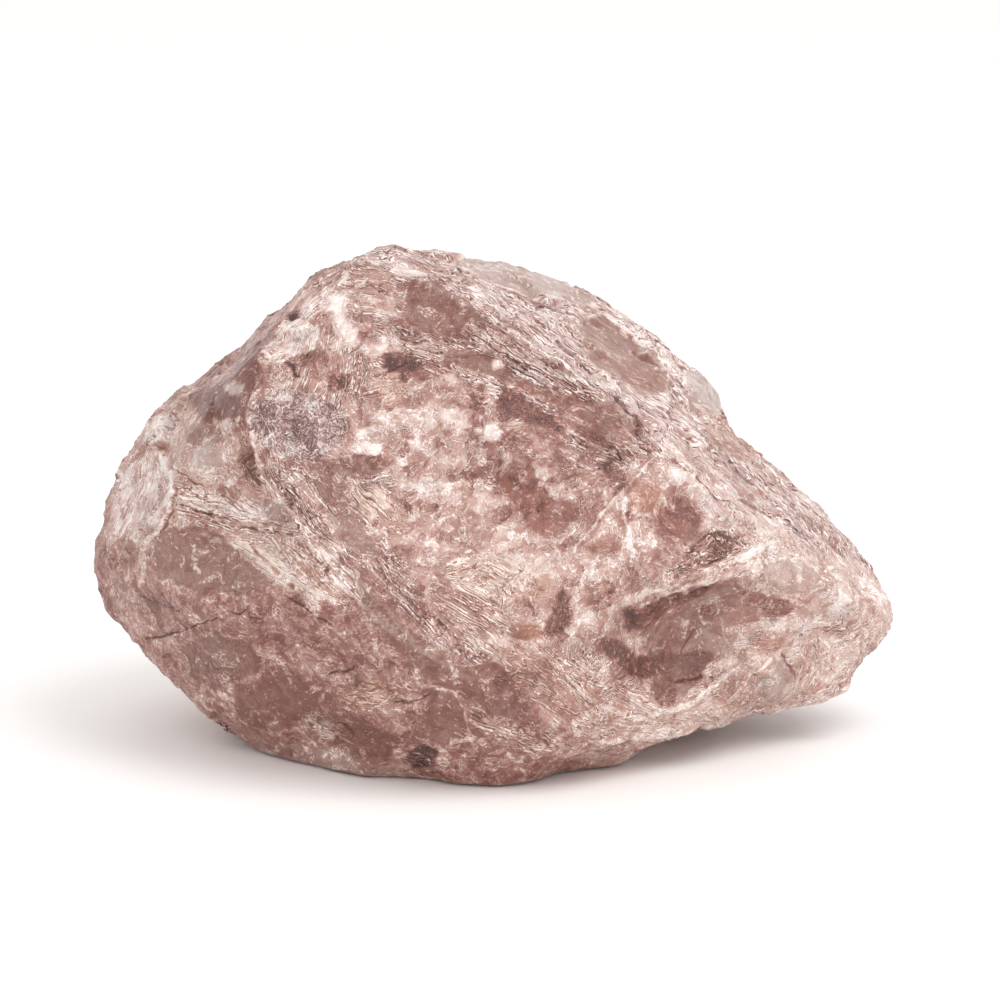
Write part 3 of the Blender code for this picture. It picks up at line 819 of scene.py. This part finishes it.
def lay_places(skin):
    """Stores on the skin where the named places and lines lie."""
    noise.seed_set(NOISE_SEED)
    mesh = skin.data
    points = columns(mesh.vertices, "co")
    bm = bmesh.new()
    bm.from_mesh(mesh)
    tree = BVHTree.FromBMesh(bm)
    bm.free()
    seen = facing(points, columns(mesh.vertices, "normal"))
    drift, fine = wandering(points, DRIFT_MM * MM), wandering(points, FINE_MM * MM)
    values = own_looks(points, drift)
    near = np.flatnonzero(seen > 0)
    # where the camera sees each point, moved by the millimetres that wide, clean and ragged edges wander
    spots = in_view(jagged(points, JAG_MM * MM, 0.5) + drift * 0.5 * MM + fine * 0.4 * MM)
    clean = in_view(points + fine * 0.15 * MM)
    ragged = in_view(points + fine * 0.45 * MM + drift * 0.3 * MM)
    for name, (*looks, outline) in {**PLACES, **RAGGED}.items():
        low, high = np.min(outline, 0), np.max(outline, 0)
        wide = smooth((np.min(high - low) - SMALL_PLACE) / (WIDE_PLACE - SMALL_PLACE))
        own = ragged if name in RAGGED else clean
        exact = AS_DRAWN - AS_DRAWN * wide
        at = spots[near] + (own[near] - spots[near]) * exact
        inside = np.all((at > low - MARGIN) & (at < high + MARGIN), 1)
        around, at = near[inside], at[inside]
        edge = (PLACE_EDGE_MM + (WIDE_EDGE_MM - PLACE_EDGE_MM) * (1 - exact / AS_DRAWN)) * PIXELS_PER_MM
        share = smooth(depth_inside(at, outline) / edge + 0.5)
        share = (share * seen[around])[:, None]
        values[around] += share * (np.array(looks) - values[around])
    for index, name in enumerate(("tone", "strands", "clear", "warmth")):
        store(mesh, name, values[:, index])
    lay_lines(mesh, in_view(points + fine * 0.3 * MM), seen, near)
    lay_grain(mesh, points, seen, values[:, 1], values[:, 2], spots, tree)


def own_looks(points, drift):
    """The tone, strands, clearness and warmth of the stone where no place is laid on it."""
    broad = wandering(points, BROAD_MM * MM)
    tone = 0.52 + broad[:, 0] * 0.25 + drift[:, 0] * 0.12
    strands = smooth(0.5 + broad[:, 1] * 1.6)
    clear = smooth((broad[:, 2] + drift[:, 2] * 0.5 - 0.22) / 0.1) * 0.8
    return np.stack([tone, strands, clear, 0.05 + broad[:, 0] * 0.1], 1)


def lay_lines(mesh, spots, seen, near):
    """Stores how far each point is beside its nearest line, and the line's tone and height there."""
    aside = np.full(len(spots), LINE_REACH_MM)
    amount, rise = np.zeros(len(spots)), np.zeros(len(spots))
    for width, added, height, line in LINES.values():
        low, high = np.min(line, 0) - LINE_MARGIN, np.max(line, 0) + LINE_MARGIN
        around = near[np.all((spots[near] > low) & (spots[near] < high), 1)]
        offset, beyond = beside(spots[around], line)
        offset, beyond = offset / PIXELS_PER_MM, beyond / PIXELS_PER_MM
        share = smooth((0.5 - beyond) / 0.5) * seen[around]
        far = np.abs(offset) / width
        rise[around] += height * share * np.exp(-far * far / 2)
        taken = (np.abs(offset) < np.abs(aside[around])) & (share > 0.01)
        aside[around] = np.where(taken, offset / width * LINE_WIDTH, aside[around])
        amount[around] = np.where(taken, added * share * (np.abs(offset) < LINE_REACH_MM), amount[around])
    store(mesh, "aside", aside)
    store(mesh, "line_tone", amount)
    store(mesh, "rise", rise)


def new_tree(name, sizes):
    """A geometry tree with an input for each size: its graph, the geometry given and the sizes."""
    tree = bpy.data.node_groups.new(name, "GeometryNodeTree")
    tree.interface.new_socket("Geometry", in_out="INPUT", socket_type="NodeSocketGeometry")
    for size in sizes:
        tree.interface.new_socket(size, in_out="INPUT", socket_type="NodeSocketFloat")
    tree.interface.new_socket("Geometry", in_out="OUTPUT", socket_type="NodeSocketGeometry")
    g = Graph(tree)
    given = g.node("NodeGroupInput")
    return g, given.out("Geometry"), {size: given.out(size) for size in sizes}


def end_tree(g, made, material):
    """Ends a geometry tree with what it made, as plain mesh of this material."""
    whole = g.node("GeometryNodeRealizeInstances", None, {0: made})
    dressed = g.node("GeometryNodeSetMaterial", None, {"Geometry": whole, "Material": material})
    g.node("NodeGroupOutput", None, {0: dressed})
    return g.tree


def relief_tree(sizes, material):
    """Breaks the surface into tilted facets, scoops, ledges along the grain, hackle and crust."""
    g, skin, size = new_tree("quartz relief", sizes)

    def named(name, kind="FLOAT"):
        return g.node("GeometryNodeInputNamedAttribute", {"data_type": kind}, {"Name": name})

    def kept(geometry, name, value, kind="FLOAT", domain="POINT"):
        settings = {"data_type": kind, "domain": domain}
        sockets = {"Geometry": geometry, "Name": name, "Value": value}
        return g.node("GeometryNodeStoreNamedAttribute", settings, sockets)

    def tilted(cell, vector, width, tilt):
        """Each cell becomes a small plane of its own slope."""
        lean = (cell.out("Color") - 0.5) * 2.0
        return g.dot(lean, vector / width - cell.out("Position")) * width * tilt

    def shade_of(cell):
        """A number from -0.5 to 0.5 that differs from one cell to the next."""
        return g.node("ShaderNodeSeparateXYZ", None, {0: cell.out("Color")}).out("X") - 0.5

    rest = g.node("GeometryNodeInputPosition") * (1 / MM)
    grain = named("grain", "FLOAT_VECTOR")
    clear, strands, warmth = named("clear"), named("strands"), named("warmth")
    bend = (g.noise(rest, 0.16, 2.0).out("Color") - 0.5) * 7.0
    ripple = (g.noise(rest, 0.7, 2.0).out("Color") - 0.5) * 1.2
    warped = rest + bend + ripple
    loose = g.step(strands, 0.34, 0.26)
    curl = (g.noise(rest, 0.9, 2.0, 0.5).out("Color") - 0.5) * 2.2
    bent = grain + ripple * 0.35 + bend * 0.06 + (ripple * 1.4 + curl) * loose

    facet = g.cells(warped / size["Facet width"], 1.0)
    chip = g.cells(warped / size["Chip width"], 1.0)
    shard = g.cells(bent / size["Shard width"], 1.0)
    facets = tilted(facet, warped, size["Facet width"], size["Facet tilt"])
    chips = tilted(chip, warped, size["Chip width"], size["Chip tilt"])
    shards = tilted(shard, bent, size["Shard width"], size["Shard tilt"])
    scoop = g.cells(warped / size["Scoop width"], 1.0)
    scoops = (scoop * scoop - 0.3) * size["Scoop depth"]
    flow = g.noise(bent, 0.24, 3.0, 0.5)
    ledges = (0.5 - g.maths("FRACT", flow * LEDGE_COUNT)) * size["Ledge height"]
    hackle = (1.0 - abs(g.noise(rest, 1.1, 3.0, 0.6) - 0.5) * 6.0) * size["Hackle height"]
    grey = g.step(warmth, -0.1, -0.6)
    crumbs = g.cells(rest, 1.3) * grey * size["Crust depth"]

    rough = 1.0 - clear * 0.85
    broken = facets + (scoops + chips) * rough + (shards + ledges) * (0.15 + strands * 0.85) * rough
    broken = broken + hackle * rough - crumbs + named("rise")
    height = g.node("ShaderNodeSeparateXYZ", None, {0: rest}).out("Z")
    offset = g.node("GeometryNodeInputNormal") * (broken * g.step(height, 0.15, FOOT_CLEARANCE_MM) * MM)
    clouds = g.noise(rest, 0.35, 3.0, 0.6) - 0.5
    streaks = g.noise(bent, 0.5, 3.0, 0.6) - 0.5
    variety = (clouds * 0.5 + shade_of(chip) * 0.22) * rough + shade_of(facet) * 0.10
    variety = variety + (streaks * 0.6 + shade_of(shard) * 0.2) * (0.2 + strands * 0.8) * rough
    marked = kept(skin, "rest", rest, "FLOAT_VECTOR")
    marked = kept(marked, "bent", bent, "FLOAT_VECTOR", "CORNER")
    marked = kept(marked, "variety", variety)
    moved = g.node("GeometryNodeSetPosition", None, {"Geometry": marked, "Offset": offset})
    return end_tree(g, g.node("GeometryNodeSetShadeSmooth", None, {0: moved}), material)


def add_tree(thing, tree, values):
    """Puts a geometry tree on an object, with its sizes."""
    modifier = thing.modifiers.new(tree.name, "NODES")
    modifier.node_group = tree
    for item in tree.interface.items_tree:
        if item.in_out == "INPUT" and item.name in values:
            modifier[item.identifier] = values[item.name]


# ---------------------------------------------------------------- materials
QUARTZ_IOR = 1.544
SMOKE = srgb(236, 150, 126)
SMOKE_DENSITY = 18.0  # per metre
GLASS = srgb(252, 184, 158)
DARK = srgb(76, 44, 40)
MAUVE = srgb(141, 91, 82)
ROSE = srgb(190, 153, 142)
PALE = srgb(229, 210, 203)
WHITE = srgb(248, 239, 234)
CREAM = srgb(216, 164, 130)
ASH = srgb(120, 112, 114)
RUST = srgb(178, 112, 92)
TONES = [(0.0, DARK), (0.28, MAUVE), (0.55, ROSE), (0.8, PALE), (1.0, WHITE)]
VEIL = srgb(244, 226, 218)
SPECK = srgb(96, 54, 46)
PAPER = srgb(252, 251, 250)
PAPER_FIBRE = srgb(246, 245, 244)


def new_material(name):
    material = bpy.data.materials.new(name)
    material.use_nodes = True
    material.node_tree.nodes.clear()
    return material, Graph(material.node_tree)


def shader(g, colour, roughness, others=None):
    """A Principled shader."""
    sockets = {"Base Color": colour, "Roughness": roughness, **(others or {})}
    return g.node("ShaderNodeBsdfPrincipled", None, sockets)


def quartz_material():
    """Smoky quartz: clear glass with smoke inside, mixed with milky stone that the grain is drawn on."""
    material, g = new_material("smoky_quartz")

    def mask(name):
        return g.node("ShaderNodeAttribute", {"attribute_name": name}).out("Fac")

    def within(value, low=0.0, high=1.0):
        return g.node("ShaderNodeClamp", None, {"Value": value, "Min": low, "Max": high})

    def ridge(value, steepness):
        """1 where the value is 0, falling to 0 on both sides."""
        return within(1.0 - abs(value) * steepness)

    def splinters(width):
        """Long splinters along the grain: a dark seam round each, painted shade as well as a crack; its pale
        edge, a painted highlight as well as whiter broken stone; and its rounding.
        """
        away = g.cells(bent, 1 / width, "DISTANCE_TO_EDGE")
        gaps_and_shade = g.step(away, 0.075, 0.01)
        rims_and_highlights = g.step(away, 0.05, 0.10) * g.step(away, 0.22, 0.12)
        return gaps_and_shade, rims_and_highlights, g.step(away, 0.0, 0.35)

    rest = g.node("ShaderNodeAttribute", {"attribute_name": "rest"}).out("Vector")
    bent = g.node("ShaderNodeAttribute", {"attribute_name": "bent"}).out("Vector")
    strands, warmth = mask("strands"), mask("warmth")
    # what everything else is drawn from
    hair = g.noise(bent, 0.8, 4.0, 0.6) - 0.5
    web = g.noise(rest, 0.8, 3.0, 0.5, 0.6) - 0.5
    flow = g.noise(bent, 1.2, 2.0, 0.5, 0.3) - 0.5
    silk = g.maths("FRACT", flow * 9.0)
    grit = g.noise(rest, 4.5, 2.0, 0.7) - 0.5
    swirl = g.noise(rest, 0.42, 3.0, 0.55, 1.2) - 0.5
    open_share = mask("clear") + web * 0.3 + hair * 0.5
    clear = g.step(open_share, 0.30, 0.56)
    busy = (1.0 - clear * 0.78) * within(0.5 + strands * 0.8)
    grey = g.step(warmth + web * 0.9, -0.1, -0.55)

    # splinters, silk and curls along the grain
    coarse_gap, coarse_rim, coarse_round = splinters(1.15)
    fine_gap, fine_rim = splinters(0.5)[:2]
    silk_shown = g.step(strands * 0.8 + hair * 1.2 + web * 0.6, 0.06, 0.46) * (0.3 + busy * 0.7)
    # painted shading of the silk steps, as of the ledges: a pale band before each edge and a dark one after
    # it
    silk_rim = (g.step(silk, 0.72, 0.90) - g.step(silk, 0.96, 1.0)) * silk_shown
    silk_gap = g.step(silk, 0.20, 0.03) * silk_shown
    coarse = g.step(web + strands * 0.40, 0.26, 0.40) * busy
    fine = g.step(hair + strands * 0.30 + grey * 0.2, 0.10, 0.22) * busy
    crossing = g.step(swirl, 0.12, 0.0) * g.step(hair, -0.06, 0.03) * (0.12 + busy * 0.88)
    curl = ridge(web + 0.02, 34.0) * crossing
    curl_shade = ridge(web + 0.06, 34.0) * crossing
    # knots, rungs and threads across it
    knot = g.maths("FRACT", web * 7.0)
    knots = g.step(knot, 0.5, 0.75) - g.step(knot, 0.35, 0.2)
    rung = g.maths("FRACT", swirl * 8.0 + flow * 0.5)
    rung_shown = g.step(web, -0.12, 0.06) * (1.0 - coarse * 0.7) * (0.4 + busy * 0.6)
    # painted shading across each step: darkest just after its edge and lightest just before the next, with a
    # painted highlight on that edge
    ledge_shading = (rung - 0.5) * rung_shown
    ledge_rim = (g.step(rung, 0.90, 0.95) - g.step(rung, 0.985, 1.0)) * rung_shown
    plain = 1.0 - silk_shown
    thread = ridge(flow - 0.02, 18.0) * g.step(swirl, 0.03, 0.09) * plain
    thread = thread + ridge(flow + 0.09, 20.0) * g.step(swirl, -0.06, -0.12) * plain
    # painted rim light: a pale line round the edges of the clear windows
    clear_edge_light = ridge(open_share - 0.40, 26.0) * g.step(web, -0.1, 0.1)
    # flakes
    spot = rest * 0.58 + g.node("ShaderNodeCombineXYZ", None, {0: web, 1: swirl, 2: hair}) * 1.1
    flake = g.cells(spot, 1.0)
    flake_shade = g.node("ShaderNodeSeparateXYZ", None, {0: flake.out("Color")}).out("X") - 0.5
    # painted shading: a gradient across each flake, as though light fell on a tilted plane
    flake_tilt_shading = g.dot(flake.out("Color") - 0.5, spot - flake.out("Position"))
    flake_edge = g.cells(spot, 1.0, "DISTANCE_TO_EDGE")
    flaky = within(1.15 - strands * 1.5) * within(1.0 - mask("clear") * 1.8, 0.15)
    flake_rim = g.step(flake_edge, 0.05, 0.015) * g.step(flake_shade, 0.08, 0.2) * g.step(swirl, -0.1, 0.02)
    # all dark gaps, painted shade as well as cracks; all pale rims, curls and threads, painted highlights of
    # edges catching light as well as whiter broken stone; and the drawn lines
    gaps_and_shade = coarse_gap * coarse * 0.8 + fine_gap * fine * 0.4 + curl_shade * 0.4 + silk_gap * 0.55
    rims_and_highlights = coarse_rim * coarse * 0.8 + fine_rim * fine * 0.3 + curl * 0.7 + ledge_rim * 0.8
    rims_and_highlights = rims_and_highlights + thread + flake_rim * flaky * 0.7 + clear_edge_light * 0.5 + silk_rim
    fleck = g.step(grit, 0.14, 0.22) * g.step(web, 0.0, 0.12)
    line = within(1.5 - abs(mask("aside") / LINE_WIDTH + web * 2.2 + grit * 0.9))
    line = line * mask("line_tone") * g.step(hair + swirl, -0.3, -0.02)

    tone = mask("tone") + mask("variety") + rims_and_highlights * 0.40 - gaps_and_shade * 0.54
    tone = tone + grit * (0.02 + strands * 0.17) * busy + ledge_shading * 0.22 + (silk - 0.5) * 0.18 * silk_shown
    tone = tone + (flake_shade * 0.18 + flake_tilt_shading * 0.4) * flaky
    tone = tone + hair * (0.08 + strands * 0.5) + web * 0.24 + swirl * (0.34 + clear * 0.35)
    tone = tone + fleck * 0.2 * busy - 0.098 + line + (grit * 0.35 + knots * 0.24) * grey
    colour = g.node("ShaderNodeValToRGB", {"stops": TONES}, {0: tone})
    colour = g.mix(within(warmth + web * 0.5) * 0.45, colour, CREAM)
    colour = g.mix(grey * 0.24, colour, ASH)
    colour = g.mix(clear * 0.22, colour, RUST)

    height = coarse_round * coarse * 0.16 + abs(silk - 0.5) * silk_shown * 0.14 + grit * 0.05 * strands
    height = height + hair * (0.06 + strands * 0.25) * busy + web * (0.14 + grey * 0.4)
    height = height + abs(rung - 0.5) * rung_shown * 0.16
    bump = g.node("ShaderNodeBump", None, {"Height": height, "Distance": 1.0 * MM, "Strength": 1.0})
    milky = shader(g, colour, 0.36, {"IOR": QUARTZ_IOR, "Normal": bump})
    glass = shader(g, GLASS, 0.2, {"IOR": QUARTZ_IOR, "Normal": bump, "Transmission Weight": 1.0})
    frost = within(1.0 - clear * 0.40 + rims_and_highlights * 0.3, 0.2, 1.0)
    surface = g.node("ShaderNodeMixShader", None, {0: frost, 1: glass, 2: milky})
    smoke_inside = g.node("ShaderNodeVolumeAbsorption", None, {"Color": SMOKE, "Density": SMOKE_DENSITY})
    g.node("ShaderNodeOutputMaterial", None, {"Surface": surface, "Volume": smoke_inside})
    return material


def veil_material():
    material, g = new_material("healed_fracture")
    rest = g.node("ShaderNodeTexCoord").out("Object") * (1 / MM)
    cloud = g.noise(rest, 0.9, 4.0, 0.6)
    film = shader(g, g.mix(cloud, ROSE, VEIL), 0.5, {"Alpha": g.step(cloud, 0.34, 0.62)})
    g.node("ShaderNodeOutputMaterial", None, {"Surface": film})
    return material


def speck_material():
    material, g = new_material("mineral_specks")
    rest = g.node("ShaderNodeTexCoord").out("Object") * (1 / MM)
    colour = g.mix(g.step(g.noise(rest, 0.6, 2.0), 0.35, 0.65), SPECK, RUST)
    g.node("ShaderNodeOutputMaterial", None, {"Surface": shader(g, colour, 0.4)})
    return material


def table_material():
    material, g = new_material("table_paper")
    place = g.node("ShaderNodeTexCoord").out("Object")
    fibre = g.noise(place, 900.0, 3.0, 0.6)
    colour = g.mix(fibre * 0.15, PAPER, PAPER_FIBRE)
    g.node("ShaderNodeOutputMaterial", None, {"Surface": shader(g, colour, 0.8)})
    return material


# ---------------------------------------------------------------- the studio
SKY = (1.0, 0.99, 0.985, 1.0)
SKY_STRENGTH = 1.04
KEY_PLACE = Vector((0.25, -0.15, 0.45))
KEY_WIDTH = 0.35
KEY_WATTS = 1.0
TABLE_HALF_WIDTH = 3.0
TABLE_DROP = 0.0002  # so that the table and the stone's foot don't share a plane


def add_camera():
    eye, right, up, forward = camera_axes()
    camera = bpy.data.cameras.new("camera")
    camera.sensor_width = SENSOR_MM
    camera.lens = VIEW_FOCAL * SENSOR_MM / VIEW_SIZE
    camera.clip_start = 0.01
    shown_camera = bpy.data.objects.new("camera", camera)
    turned = Matrix((right, up, -forward)).transposed().to_4x4()
    shown_camera.matrix_world = Matrix.Translation(eye) @ turned
    bpy.context.scene.collection.objects.link(shown_camera)
    bpy.context.scene.camera = shown_camera


def add_light():
    light = bpy.data.lights.new("key", "AREA")
    light.shape = "DISK"
    light.size = KEY_WIDTH
    light.energy = KEY_WATTS
    lamp = bpy.data.objects.new("key", light)
    way = CAMERA_TARGET - KEY_PLACE
    lamp.matrix_world = Matrix.Translation(KEY_PLACE) @ way.to_track_quat("-Z", "Y").to_matrix().to_4x4()
    bpy.context.scene.collection.objects.link(lamp)


def add_sky():
    world = bpy.data.worlds.new("studio")
    world.use_nodes = True
    background = world.node_tree.nodes["Background"]
    background.inputs["Color"].default_value = SKY
    background.inputs["Strength"].default_value = SKY_STRENGTH
    bpy.context.scene.world = world
    bpy.context.scene.view_settings.view_transform = "Standard"


def add_table():
    bm = bmesh.new()
    bmesh.ops.create_grid(bm, x_segments=2, y_segments=2, size=TABLE_HALF_WIDTH)
    mesh = bpy.data.meshes.new("table")
    bm.to_mesh(mesh)
    bm.free()
    mesh.materials.append(table_material())
    table = bpy.data.objects.new("table", mesh)
    table.location.z = -TABLE_DROP
    bpy.context.scene.collection.objects.link(table)


# ---------------------------------------------------------------- inside the stone
# Healed fractures: waving sheets with ragged holes, and the mineral specks that lie on them.
HEART = Vector((0.0, 0.0, 0.024))
INNER_SHARE = 0.82  # how far out from the heart the middles of the sheets lie
SKIN_GAP_MM = 0.8  # kept between the sheets and the skin
INSIDE = {
    "Sheets per square metre": 6500.0,
    "Sheet width": 13.0,
    "Wave height": 2.4,
    "Eaten away": 0.46,
    "Specks per square metre": 700000.0,
    "Speck size": 0.13,
}
SHEET_SHAPE = 0.6  # length over width
SHEET_POINTS = (34, 22)
FULL_TURN = (6.3,) * 3  # radians, about each axis
RAY_LENGTH = 0.1  # more than the way from any sheet out to the skin
VEIL_SEED = 11
SPECK_SEED = 5


def inner_tree(specks, sizes, material):
    """Ragged waving sheets inside a solid, or the specks on those sheets."""
    g, skin, size = new_tree("specks inside" if specks else "veils inside", sizes)
    place = g.node("GeometryNodeInputPosition")

    def between(kind, low, high, seed):
        sockets = {"Min": low, "Max": high, "Seed": seed}
        return g.node("FunctionNodeRandomValue", {"data_type": kind}, sockets)

    def scattered(surface, density, instance, seed):
        """Copies all over a surface, turned at random and from half to their whole size."""
        sockets = {"Mesh": surface, "Density": density, "Seed": seed}
        points = g.node("GeometryNodeDistributePointsOnFaces", None, sockets)
        turn = between("FLOAT_VECTOR", (0, 0, 0), FULL_TURN, seed)
        share = between("FLOAT", 0.5, 1.0, seed + 1)
        sockets = {"Points": points, "Instance": instance, "Rotation": turn, "Scale": share}
        laid = g.node("GeometryNodeInstanceOnPoints", None, sockets)
        return g.node("GeometryNodeRealizeInstances", None, {0: laid})

    moved = {"Geometry": skin, "Translation": HEART * (1 - INNER_SHARE), "Scale": (INNER_SHARE,) * 3}
    shrunk = g.node("GeometryNodeTransform", None, moved)
    width = size["Sheet width"] * MM
    across, along = SHEET_POINTS
    shape = {"Size X": width, "Size Y": width * SHEET_SHAPE, "Vertices X": across, "Vertices Y": along}
    sheet = g.node("GeometryNodeMeshGrid", None, shape)
    made = scattered(shrunk, size["Sheets per square metre"], sheet, VEIL_SEED)
    wave = (g.noise(place * (1 / MM), 0.16, 2.0).out("Color") - 0.5) * (size["Wave height"] * MM)
    made = g.node("GeometryNodeSetPosition", None, {"Geometry": made, "Offset": wave})
    ray = {"Target Geometry": skin, "Ray Direction": place - tuple(HEART), "Ray Length": RAY_LENGTH}
    reach = g.node("GeometryNodeRaycast", None, ray)
    too_near = g.maths("LESS_THAN", reach.out("Hit Distance"), SKIN_GAP_MM * MM)
    outside = 1.0 - reach.out("Is Hit")
    eaten = g.maths("LESS_THAN", g.noise(place * (1 / MM), 0.35, 3.0, 0.6), size["Eaten away"])
    lost = g.maths("GREATER_THAN", too_near + outside + eaten, 0.5)
    made = g.node("GeometryNodeDeleteGeometry", None, {"Geometry": made, "Selection": lost})
    if specks:
        ball = {"Radius": size["Speck size"] * MM, "Subdivisions": 1}
        grain = g.node("GeometryNodeMeshIcoSphere", None, ball)
        made = scattered(made, size["Specks per square metre"], grain, SPECK_SEED)
    return end_tree(g, made, material)


def grown_inside(skin, name, specks, material):
    """A new piece, made inside the skin by a geometry tree."""
    thing = bpy.data.objects.new(name, skin.data.copy())
    bpy.context.scene.collection.objects.link(thing)
    add_tree(thing, inner_tree(specks, INSIDE, material), INSIDE)
    settled(thing)
    thing.data.name = name
    thing.data.materials.clear()
    thing.data.materials.append(material)
    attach(thing, "root")


# ---------------------------------------------------------------- the whole
def build():
    add_camera()
    add_sky()
    add_light()
    add_table()
    quartz = quartz_material()
    skin = skin_mesh(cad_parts["stone"])
    lay_places(skin)
    skin.data.materials.clear()
    skin.data.materials.append(quartz)
    add_tree(skin, relief_tree(RELIEF, quartz), RELIEF)
    settled(skin)
    skin.name = "stone_skin"
    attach(skin, "root")
    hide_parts("stone")
    grown_inside(skin, "healed_fractures", False, veil_material())
    grown_inside(skin, "mineral_specks", True, speck_material())


build()
